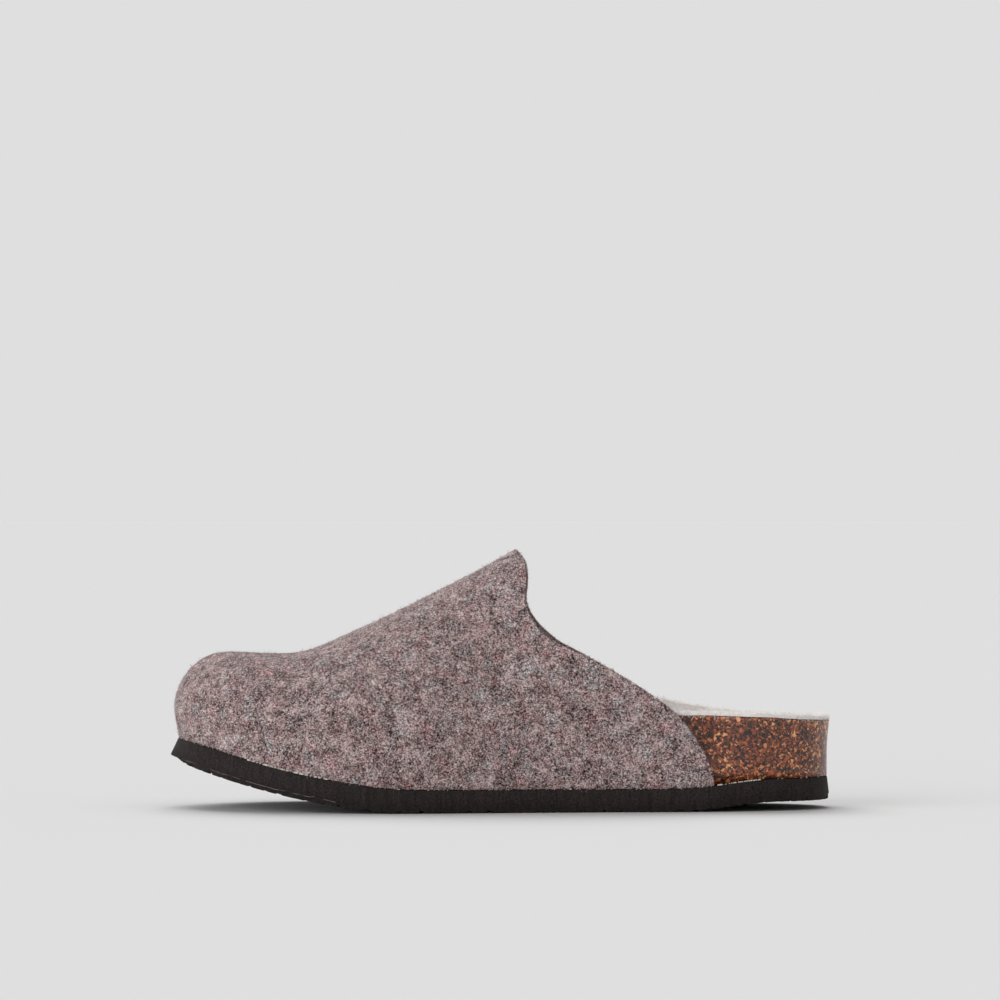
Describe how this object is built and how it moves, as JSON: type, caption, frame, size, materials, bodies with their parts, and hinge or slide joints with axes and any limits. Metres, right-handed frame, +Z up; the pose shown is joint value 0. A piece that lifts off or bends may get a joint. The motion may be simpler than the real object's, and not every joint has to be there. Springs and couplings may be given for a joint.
{
  "type": "clog slipper",
  "caption": "Wool felt clog slipper, open at the back, on a cork footbed with a pile insole and a thin black EVA outsole, left foot.",
  "frame": {"origin": "centre of the shoe's outline on the floor, under the outsole", "axes": "+X towards the heel, -X towards the toe, -Y towards the outer side of the foot, +Z up"},
  "size_m": [0.2575, 0.0976, 0.1015],
  "materials": {
    "wool_felt": "matte melange wool felt",
    "wool_pile": "matte cream pile",
    "lacquered_cork": "clear lacquer over brown cork granules",
    "eva_rubber": "matte cut foam"
  },
  "bodies": {
    "root": {"felt_upper": "wool_felt", "pile_insole": "wool_pile", "cork_footbed": "lacquered_cork", "outsole": "eva_rubber"}
  },
  "joints": []
}
